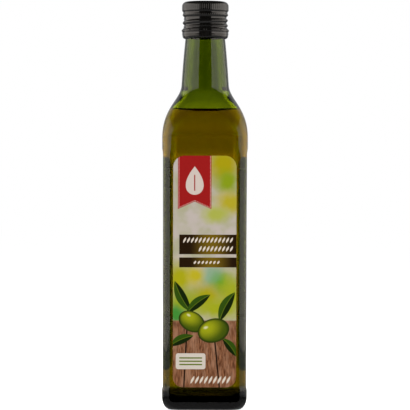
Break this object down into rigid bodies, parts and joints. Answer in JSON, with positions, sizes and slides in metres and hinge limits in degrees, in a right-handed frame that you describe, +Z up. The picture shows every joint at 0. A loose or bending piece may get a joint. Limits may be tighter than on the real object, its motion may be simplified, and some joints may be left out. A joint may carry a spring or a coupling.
{
  "type": "olive oil bottle",
  "caption": "Square green glass bottle filled with olive oil, with a black roll-on screw cap and a paper label on its front and back.",
  "frame": {"origin": "centre of the bottle's base, on the surface it stands on", "axes": "+Z up along the bottle's axis, -Y out of the front label, +X to the right seen from the front"},
  "size_m": [0.0572, 0.0572, 0.2746],
  "materials": {
    "glass": "clear green bottle glass, polished",
    "oil": "clear golden-green oil",
    "cap": "satin black lacquer on thin aluminium",
    "front_label": "printed coated paper",
    "back_label": "printed coated paper"
  },
  "bodies": {
    "root": {"bottle": "glass", "oil": "oil", "cap": "cap", "front_label": "front_label", "back_label": "back_label"}
  },
  "joints": []
}
